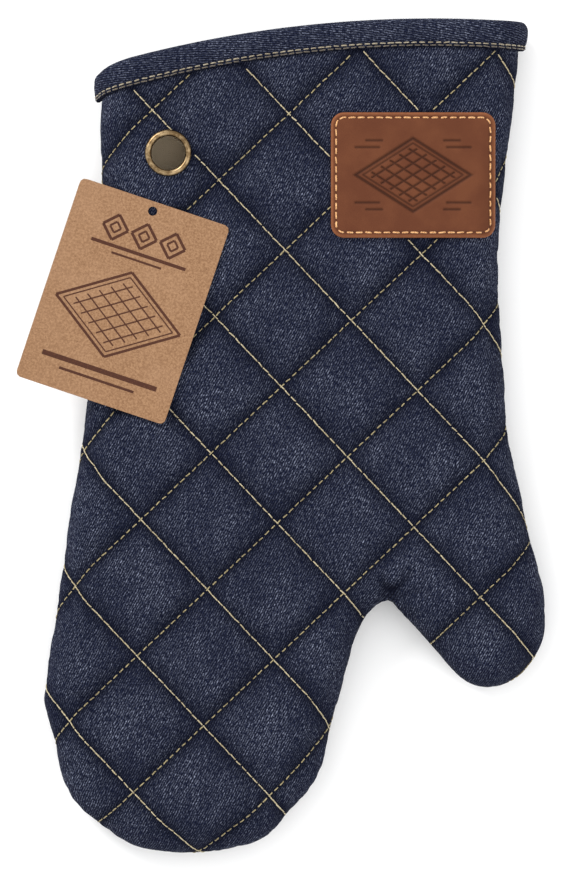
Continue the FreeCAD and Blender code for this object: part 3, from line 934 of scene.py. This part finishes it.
# ---- laying things on a finished piece
def surface_of(*pieces):
    """A tree of the finished faces of some pieces, for laying things on them."""
    bpy.context.view_layer.update()
    graph = bpy.context.evaluated_depsgraph_get()
    verts, faces = [], []
    for piece in pieces:
        mesh = piece.evaluated_get(graph).to_mesh()
        base = len(verts)
        verts += [v.co.copy() for v in mesh.vertices]
        faces += [[base + k for k in face.vertices] for face in mesh.polygons]
    return BVHTree.FromPolygons(verts, faces)


def laid_on(tree, points, normals, reach=6 * MM):
    """The points moved onto the first face met from outside, and the normals there."""
    out, ways = [], []
    for p, n in zip(points, normals):
        p, n = Vector(p), Vector(n)
        hit, way, _, _ = tree.ray_cast(p + n * reach, -n, 2 * reach)
        out.append(hit if hit else p)
        ways.append(way if hit and way.dot(n) > 0.2 else n)
    return np.array(out), np.array(ways)


# ---- stitches
# a stitch's arch: shares of its length from its middle, and heights in thread radii
ARCH = ((-0.56, -0.75), (-0.42, 0.15), (-0.2, 0.62), (0.0, 0.74), (0.2, 0.62), (0.42, 0.15),
        (0.56, -0.75))
RING = 6  # the points round a strand
QUILT_THREAD = 0.24 * MM
QUILT_PITCH = 3.1 * MM
FALLING_STITCH, RISING_STITCH = 2.8 * MM, 2.1 * MM
ROW_STEP = 0.4 * MM
SHORTEST_ROW = 45  # steps
ROW_CUFF_INSET, ROW_SEAM_INSET = 9.6 * MM, 0.8 * MM


def stitch_mesh(name, lines, length, radius, seed, lift=1.0):
    """Short arched strands; lines holds (points, normals) pairs, one pair a stitch, along its path."""
    verts, faces = [], []
    rng = np.random.default_rng(seed)
    for points, normals in lines:
        along = points[-1] - points[0]
        span = np.linalg.norm(along)
        if span < 0.3 * MM:
            continue
        along /= span
        scale = length * (1 + 0.07 * rng.standard_normal())
        thick = radius * (1 + 0.08 * rng.standard_normal())
        sway = 0.06 * rng.standard_normal()
        base = len(verts)
        for share, height in ARCH:
            part = min(max(share + 0.5, 0), 1)
            spot = part * (len(points) - 1)
            k = min(int(spot), len(points) - 2)
            t = spot - k
            centre = points[k] * (1 - t) + points[k + 1] * t
            up = normals[k] * (1 - t) + normals[k + 1] * t
            up = up - along * (up @ along)
            up /= np.linalg.norm(up)
            across = np.cross(along, up)
            centre = centre + along * (share * scale - (part - 0.5) * span)
            centre = centre + up * height * lift * radius + across * share * sway * scale
            size = thick * (0.55 if abs(share) > 0.5 else 1.0)
            for r in range(RING):
                a = 2 * math.pi * r / RING
                verts.append(centre + across * math.cos(a) * size + up * math.sin(a) * size * 0.85)
        for s in range(len(ARCH) - 1):
            for r in range(RING):
                a, b = base + s * RING + r, base + s * RING + (r + 1) % RING
                faces.append((a, b, b + RING, a + RING))
        faces.append([base + r for r in reversed(range(RING))])
        faces.append([base + (len(ARCH) - 1) * RING + r for r in range(RING)])
    verts = np.array(verts)
    verts[:, 2] = np.maximum(verts[:, 2], FLOOR_GAP)
    return new_mesh(name, verts, faces)


def cut_rows(falling):
    """The quilting rows of one set, as evenly spaced points of the flat cloth."""
    rows = []
    for k in range(-6, 7):
        across = (FALLING if falling else RISING) + k * PITCH
        along = np.arange(-LATTICE_REACH, LATTICE_REACH, ROW_STEP)
        across = np.full_like(along, across)
        row = off_lattice(across, along) if falling else off_lattice(along, across)
        row = row[np.abs(row).max(1) < 0.185]
        if not len(row):
            continue
        keep = (run_field(row)[0] > ROW_SEAM_INSET) & (below_cuff(row) > ROW_CUFF_INSET)
        cuts = np.flatnonzero(np.diff(keep.astype(int))) + 1
        parts = zip(np.split(row, cuts), np.split(keep, cuts))
        rows += [part for part, kept in parts if kept[0] and len(part) > SHORTEST_ROW]
    return rows


def spaced_stitches(tree, row, side, length, seed):
    """The stitches of one row, each as five points on the cloth and their normals."""
    rng = np.random.default_rng(seed)
    lengths = lengths_along(row)
    out = []
    at = rng.uniform(0.2, 0.9) * QUILT_PITCH
    while at + QUILT_PITCH / 2 < lengths[-1]:
        spots = points_along(row, lengths, np.linspace(at - length / 2, at + length / 2, 5))
        spots = spots + 0.06 * MM * rng.standard_normal(2)
        out.append(laid_on(tree, *wrap(spots, side, np.full(5, 1.5 * MM))))
        at += QUILT_PITCH * (1 + 0.04 * rng.standard_normal())
    return out


def off_fittings(stitch):
    """Whether a stitch is clear of the patch and the eyelet."""
    middle = stitch[0][2:3, :2]
    return off_patch(middle)[0] > 0.3 * MM and np.linalg.norm(middle[0] - EYELET) > 9.3 * MM


def add_quilting(word, side):
    tree = surface_of(PANELS[word])
    for kind, length in (("falling", FALLING_STITCH), ("rising", RISING_STITCH)):
        stitches = []
        for number, row in enumerate(cut_rows(kind == "falling")):
            stitches += spaced_stitches(tree, row, side, length, 40 + number)
        if side > 0:
            stitches = [stitch for stitch in stitches if off_fittings(stitch)]
        name = f"{word}_{kind}_stitches"
        mesh = stitch_mesh(name, stitches, length, QUILT_THREAD, 7)
        thread = MAT[f"{kind}_thread"]
        placed(name, mesh, "mitt", thread, [f"{word}_quilting_{kind}"])


for word, side, _ in SIDES:
    add_quilting(word, side)


# ---- the seam's thread
def rows_of_faces(rows, count, closed=False):
    """Four-cornered faces between rows of points that each close on themselves."""
    faces = []
    for k in range(rows if closed else rows - 1):
        low, high = k * count, (k + 1) % rows * count
        faces += [(low + i, low + (i + 1) % count, high + (i + 1) % count, high + i) for i in range(count)]
    return faces


def strand(name, line, radius, sides=6):
    """A round strand along an open line that lies in one plane, with both ends closed."""
    ahead = np.gradient(line, axis=0)
    ahead /= norms(ahead)[:, None]
    up = np.array([0.0, 0.0, 1.0])
    out = np.cross(ahead, up)
    turns = np.linspace(0, 2 * math.pi, sides, endpoint=False)
    verts = [p + radius * (o * math.cos(t) + up * math.sin(t)) for p, o in zip(line, out) for t in turns]
    faces = rows_of_faces(len(line), sides)
    faces += [list(range(sides))[::-1], [len(line) * sides - sides + r for r in range(sides)]]
    return new_mesh(name, verts, faces)


def add_seam():
    """The thread that shows as a dark line between the panels."""
    line = PATH - side_field(PATH)[1] * (LINING_DEPTH - SEAM_TUCK - 1.0 * MM)
    line = pinched(line[below_cuff(line) > 3 * MM])
    line = np.column_stack([line, np.full(len(line), MID)])
    mesh = strand("seam_strand", line, 0.35 * MM)
    placed("seam_strand", mesh, "mitt", MAT["seam_thread"], ["side_seam_thread"])


add_seam()


# ---- the cuff's binding
# The strip's section: (below the cuff's edge, under the skin), from its lower front fold over the top.
STRIP = [(9.05, 1.3), (9.15, 0.65), (8.95, 0.3), (8.3, 0.15), (7.7, 0.42), (6.5, 0.05),
         (4.0, -0.2), (1.6, -0.1), (0.2, 0.4), (-0.8, 1.5), (-1.2, 2.75), (-0.9, 4.1),
         (0.2, 5.3), (1.6, 5.95), (4.0, 6.15), (8.5, 6.05), (9.0, 5.6)]
STRIP_OUT = 1.0 * MM  # how far it stands out past the seam
STRIP_STEPS = 240  # its points round the mitt
STRIP_CLOTH = 0.45 * MM


def cuff_ends(radius):
    """The angles where a circle below the cuff meets the seam on each side."""
    angles = np.linspace(math.radians(80), math.radians(112), 1600)
    on = np.flatnonzero(run_field(on_circle(CUFF_CENTRE, radius, angles))[0] > 0)
    return angles[on[0]], angles[on[-1]]


def strip_ring(below, depth):
    """One line of the binding, round the front and back: points, normals and cloth coordinates."""
    radius = CUFF_RADIUS - below
    first, last = cuff_ends(radius)
    half = STRIP_STEPS // 2
    angles = np.linspace(first, last, half)
    arc = on_circle(CUFF_CENTRE, radius, angles)
    uneven = ripple(np.column_stack([angles * radius, np.full(half, below)]), 11 * MM, 21.0)
    depths = depth + 0.16 * MM * uneven
    over, way_over = wrap(arc, 1, depths, -STRIP_OUT)
    under, way_under = wrap(arc[::-1], -1, depths[::-1], -STRIP_OUT)
    along = np.concatenate([angles, 2 * last - angles[::-1]]) * CUFF_RADIUS
    cloth = np.column_stack([along, np.full(len(along), below)])
    return np.vstack([over, under]), np.vstack([way_over, way_under]), cloth


def binding_mesh():
    profile = evenly(rounded_line(np.array(STRIP) * MM, 2), 0.62 * MM)
    rings = [strip_ring(below, depth) for below, depth in profile]
    verts = np.vstack([ring[0] for ring in rings])
    verts[:, 2] = np.maximum(verts[:, 2], FLOOR_GAP + 0.1 * MM + STRIP_CLOTH)
    mesh = new_mesh("cuff_strip", verts, rows_of_faces(len(rings), STRIP_STEPS))
    cloth = np.vstack([ring[2] for ring in rings])
    cloth[:, 1] = np.repeat(lengths_along(profile), STRIP_STEPS)
    keep_cut(mesh, cloth)
    # painted shade at the strip's lower fold and along its upper stitching row, with an even 0.12 darkening
    # over the whole strip
    fold_shade = np.exp(-np.abs(profile[:, 0] - 9.1 * MM) / (0.8 * MM))
    row = np.exp(-np.abs(profile[:, 0] - UPPER_ROW) / (0.7 * MM))
    crease_shade = np.clip(0.9 * fold_shade + 0.55 * row + 0.12, 0, 1)
    keep_number(mesh, "crease_shade", np.repeat(crease_shade, STRIP_STEPS))
    return mesh


def binding_row(tree, below, length, seed):
    """The stitches of one row round the binding."""
    rng = np.random.default_rng(seed)
    points, ways, _ = strip_ring(below, -0.3 * MM)
    points, ways = points[:-1], ways[:-1]
    lengths = lengths_along(points)
    out = []
    at = 1.0 * MM
    while at < lengths[-1] - 2 * MM:
        spots = np.linspace(at - length / 2, at + length / 2, 5)
        spots = [points_along(values, lengths, spots) for values in (points, ways)]
        out.append(laid_on(tree, *spots, 3 * MM))
        at += 3.0 * MM * (1 + 0.04 * rng.standard_normal())
    return out


UPPER_ROW, LOWER_ROW = 7.7 * MM, 8.75 * MM  # below the cuff's edge
UPPER_STITCH, LOWER_STITCH = 2.1 * MM, 2.3 * MM


def add_binding():
    cloth = MAT["binding_denim"]
    strip = placed("cuff_strip", binding_mesh(), "mitt", cloth, ["cuff_binding"])
    thicken(strip, STRIP_CLOTH)
    tree = surface_of(strip)
    upper = binding_row(tree, UPPER_ROW, UPPER_STITCH, 61)
    lower = binding_row(tree, LOWER_ROW, LOWER_STITCH, 62)
    upper = stitch_mesh("binding_upper_stitches", upper, UPPER_STITCH, 0.26 * MM, 8)
    lower = stitch_mesh("binding_lower_stitches", lower, LOWER_STITCH, 0.24 * MM, 9)
    for mesh, thread, nodes in ((upper, "upper_thread", ["binding_stitching"]), (lower, "lower_thread", [])):
        placed(mesh.name, mesh, "mitt", MAT[thread], nodes)


add_binding()


# ---- the leather patch
LEATHER = 1.5 * MM
PATCH_GRID = 0.5 * MM
PATCH_CORNER = 5.0 * MM
PATCH_ROW = 2.0 * MM  # the stitches' distance from the edge
PATCH_STITCH, PATCH_PITCH = 2.5 * MM, 3.5 * MM
PATCH_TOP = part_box("leather_patch")[1][2]
EDGE_ROUND = 0.7 * MM
PRESSED_IN = 0.62 * MM  # how deep the ornament is


def from_edge(at, size, corner):
    """How far inside a rounded rectangle a point is."""
    over = np.abs(at) - np.array(size) / 2 + corner
    return corner - (norms(np.maximum(over, 0)) + np.minimum(over.max(1), 0))


def rounded_outline(size, corner, step):
    half = np.array(size) / 2 - corner
    out = []
    for k, signs in enumerate(((1, 1), (-1, 1), (-1, -1), (1, -1))):
        turn = np.linspace(k * math.pi / 2, (k + 1) * math.pi / 2, 9)
        out.append(on_circle(np.array(signs) * half, corner, turn))
    return evenly(np.vstack([*out, out[0][:1]]), step)[:-1]


def grid_within(size, corner, step, inset):
    """A square grid of points more than the inset inside a rounded rectangle."""
    x, y = [np.arange(-side / 2, side / 2, step) for side in size]
    grid = np.stack(np.meshgrid(x, y), axis=-1).reshape(-1, 2)
    return grid[from_edge(grid, size, corner) > inset]


def groove(off, width):
    return np.exp(-(off / width) ** 2)


def embossed(at):
    """The pressed ornament: a wide diamond of quilted squares with short rules, 1 where it is deepest."""
    x, y = at[:, 0] / MM, at[:, 1] / MM
    wide, tall = 22.0, 14.0
    scale = wide * tall / math.hypot(wide, tall)
    lens = np.abs(x) / wide + np.abs(y) / tall
    depth = groove((lens - 1.0) * scale, 0.55)
    depth = np.maximum(depth, 0.8 * groove((lens - 0.87) * scale, 0.35))
    inside = np.where(lens < 0.8, 1.0, 0.0)
    for way in (1, -1):
        across = (x * tall + way * y * wide) / math.hypot(wide, tall)
        near = np.abs((across + 1.9) % 3.8 - 1.9)
        depth = np.maximum(depth, inside * groove(near, 0.36))
    for height, half in ((10.6, 9.0), (13.2, 6.0)):
        for side in (-1, 1):
            over = np.maximum(np.abs(np.abs(x) - 17.5 + (height - 10.6)) - half / 2, 0)
            bar = groove(np.hypot(over, np.abs(y - side * height)), 0.42)
            depth = np.maximum(depth, 0.85 * bar)
    return depth


def patch_plan(at):
    return rotated(at, PATCH_TURN) + PATCH_CENTRE


def patch_height(at):
    """The underside's height: the mitt's crown, bent down where the side rounds off."""
    inside = side_field(patch_plan(at))[0]
    gone = np.clip(ROUND - inside, 0, ROUND)
    bend = ROUND - np.sqrt(ROUND ** 2 - gone ** 2)
    wave = 0.12 * MM * ripple(at, 21 * MM, 31.0)
    return PATCH_TOP - LEATHER - 0.12 * MM - bend + np.minimum(wave, 0.1 * MM)


def patch_mesh():
    outline = rounded_outline(PATCH_SIZE, PATCH_CORNER, PATCH_GRID)
    grid = grid_within(PATCH_SIZE, PATCH_CORNER, PATCH_GRID * 0.72, 0.3 * MM)
    at, faces = filled([outline], grid)
    inset = from_edge(at, PATCH_SIZE, PATCH_CORNER)
    base = patch_height(at)
    fall = np.clip(1 - inset / EDGE_ROUND, 0, 1)
    top = base + LEATHER - EDGE_ROUND * (1 - np.sqrt(np.maximum(1 - fall ** 2, 0))) * 0.85
    row = groove(inset - PATCH_ROW, 0.5 * MM)
    press = embossed(at)
    top = top - 0.3 * MM * row - PRESSED_IN * press + 0.05 * MM * ripple(at, 6 * MM, 33.0)
    top = np.minimum(top, PATCH_TOP)
    plan = patch_plan(at)
    top, base = np.column_stack([plan, top]), np.column_stack([plan, base])
    mesh = closed_mesh("patch_leather", top, base, faces)
    keep_cut(mesh, np.vstack([at, at]))
    under = np.ones(len(at))
    keep_number(mesh, "edge", np.concatenate([0.75 * groove(inset, 0.9 * MM), under]))
    keep_number(mesh, "stamped", np.concatenate([np.clip(0.72 * press + 0.3 * row, 0, 1), 0 * under]))
    return mesh


def add_patch():
    patch = placed("patch_leather", patch_mesh(), "mitt", MAT["leather"], ["leather_patch"])
    tree = surface_of(patch)
    size = [side - 2 * PATCH_ROW for side in PATCH_SIZE]
    loop = rounded_outline(size, PATCH_CORNER - PATCH_ROW, 0.3 * MM)
    loop = np.vstack([loop, loop[:1]])
    lengths = lengths_along(loop)
    count = round(lengths[-1] / PATCH_PITCH)
    stitches = []
    for k in range(count):
        at = (k + 0.5) * lengths[-1] / count
        spots = np.linspace(at - PATCH_STITCH / 2, at + PATCH_STITCH / 2, 5)
        spots = patch_plan(points_along(loop, lengths, spots))
        spots = np.column_stack([spots, np.full(5, PATCH_TOP)])
        stitches.append(laid_on(tree, spots, np.tile([0.0, 0.0, 1.0], (5, 1)), 8 * MM))
    mesh = stitch_mesh("patch_stitches", stitches, PATCH_STITCH, 0.34 * MM, 10, 0.9)
    placed("patch_stitches", mesh, "mitt", MAT["patch_thread"], ["patch_stitching"])


add_patch()


# ---- the eyelet
BORE, TUBE_WALL, RIM, RIM_CROWN = 6.5 * MM, 0.7 * MM, 8.95 * MM, 1.6 * MM


def lathe(name, profile, steps):
    """A closed section of (radius, height) turned about the eyelet's axis."""
    angles = np.linspace(0, 2 * math.pi, steps, endpoint=False)
    verts = [(*on_circle(EYELET, radius, turn)[0], height) for radius, height in profile for turn in angles]
    return new_mesh(name, verts, rows_of_faces(len(profile), steps, closed=True))


def eyelet_profile():
    """The section, from the tube's foot round the rim's crown."""
    low, high = [corner[2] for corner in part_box("eyelet")]
    rest = high - RIM_CROWN
    middle, half = (BORE + RIM) / 2, (RIM - BORE) / 2
    turns = np.linspace(0, math.pi, 15)
    dome = [(middle + half * math.cos(t), rest + RIM_CROWN * math.sin(t) ** 0.8) for t in turns]
    outer = BORE + TUBE_WALL
    tube = [(BORE + 0.02 * MM, rest - 0.6 * MM), (BORE, low + 0.3 * MM), (BORE + 0.2 * MM, low),
            (outer, low), (outer, rest - 0.2 * MM), (RIM - 0.35 * MM, rest - 0.15 * MM)]
    return (dome + tube)[::-1]


placed("eyelet_ring", lathe("eyelet_ring", eyelet_profile(), 72), "mitt", MAT["brass"], ["eyelet"])


# ---- the swing tag
CARD = 0.6 * MM
CARD_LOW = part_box("swing_tag")[0][2]
CARD_HOLE = 1.8 * MM
CARD_HOLE_AT = np.array([0.0, TAG_SIZE[1] / 2 - 3.7 * MM])
CARD_CORNER = 2.0 * MM


def card_place(at):
    """Card coordinates (from its middle) to the frame, on the underside, with the card's slight bow."""
    plan = rotated(at - CARD_HOLE_AT, TAG_TURN) + TAG_HOLE
    bow = 0.9 * MM * (at[:, 0] / (TAG_SIZE[0] / 2)) ** 2 * smooth(0, 60 * MM, TAG_SIZE[1] / 2 - at[:, 1])
    return np.column_stack([plan, CARD_LOW + bow])


def card_mesh():
    outline = rounded_outline(TAG_SIZE, CARD_CORNER, 1.5 * MM)
    grid = grid_within(TAG_SIZE, CARD_CORNER, 2 * MM, 0.8 * MM)
    grid = grid[norms(grid - CARD_HOLE_AT) > CARD_HOLE + 0.8 * MM]
    hole = on_circle(CARD_HOLE_AT, CARD_HOLE, HOLE_ANGLES)
    at, faces = filled([outline, hole], grid, (CARD_HOLE_AT, CARD_HOLE))
    low = card_place(at)
    return closed_mesh("tag_card", low + np.array([0, 0, CARD]), low, faces)


card = placed("tag_card", card_mesh(), "tag", MAT["kraft"], ["swing_tag"])
for face in card.data.polygons:
    face.use_smooth = False


# ---- the tag's print
def band(points, width):
    """A flat strip of even width along a line."""
    points = evenly(np.array(points, float), 0.9 * MM)
    ahead = np.gradient(points, axis=0)
    ahead /= norms(ahead)[:, None]
    side = np.column_stack([-ahead[:, 1], ahead[:, 0]]) * width / 2
    verts = np.vstack([points - side, points + side])
    n = len(points)
    return verts, [(k, k + 1, n + k + 1, n + k) for k in range(n - 1)]


def diamond(middle, wide, tall, width):
    x, y = middle
    corners = [(x + wide, y), (x, y + tall), (x - wide, y), (x, y - tall)]
    return [band([a, b], width) for a, b in zip(corners, corners[1:] + corners[:1])]


def print_mesh():
    """Diamonds over two rules, a large diamond of quilted squares, and two rules below."""
    m = MM
    shapes = []
    for x in (-1, 0, 1):
        shapes += diamond((x * 11.5 * m, 26.0 * m), 5.0 * m, 5.0 * m, 1.1 * m)
        shapes += diamond((x * 11.5 * m, 26.0 * m), 2.2 * m, 2.2 * m, 0.8 * m)
    shapes.append(band([(-19 * m, 19.0 * m), (19 * m, 19.0 * m)], 1.3 * m))
    shapes.append(band([(-10 * m, 16.4 * m), (10 * m, 16.4 * m)], 0.8 * m))
    wide, tall, low = 25.0, 17.0, -5.5
    shapes += diamond((0, low * m), wide * m, tall * m, 1.0 * m)
    shapes += diamond((0, low * m), (wide - 3) * m, (tall - 2.04) * m, 0.5 * m)
    for k in (-2, -1, 0, 1, 2):
        start = np.array([-wide, tall]) * 0.39 + np.array([wide, tall]) * k * 0.156
        end = np.array([wide, -tall]) * 0.39 + np.array([wide, tall]) * k * 0.156
        for flip in (1, -1):
            ends = np.array([start, end]) * [1, flip] + [0, low]
            shapes.append(band(ends * m, 0.55 * m))
    shapes.append(band([(-23 * m, -28.0 * m), (23 * m, -28.0 * m)], 1.9 * m))
    shapes.append(band([(-15 * m, -31.8 * m), (15 * m, -31.8 * m)], 1.0 * m))
    verts, faces = [], []
    for number, (points, quads) in enumerate(shapes):
        base = len(verts)
        spot = card_place(points)
        spot[:, 2] += CARD + 0.02 * MM + 0.0004 * MM * number
        verts += spot.tolist()
        faces += [tuple(base + k for k in quad) for quad in quads]
    return new_mesh("tag_print", verts, faces)


placed("tag_print", print_mesh(), "tag", MAT["ink"])

# ---- the end
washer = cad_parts["eyelet_washer"].data
washer.materials.clear()
washer.materials.append(MAT["brass"])
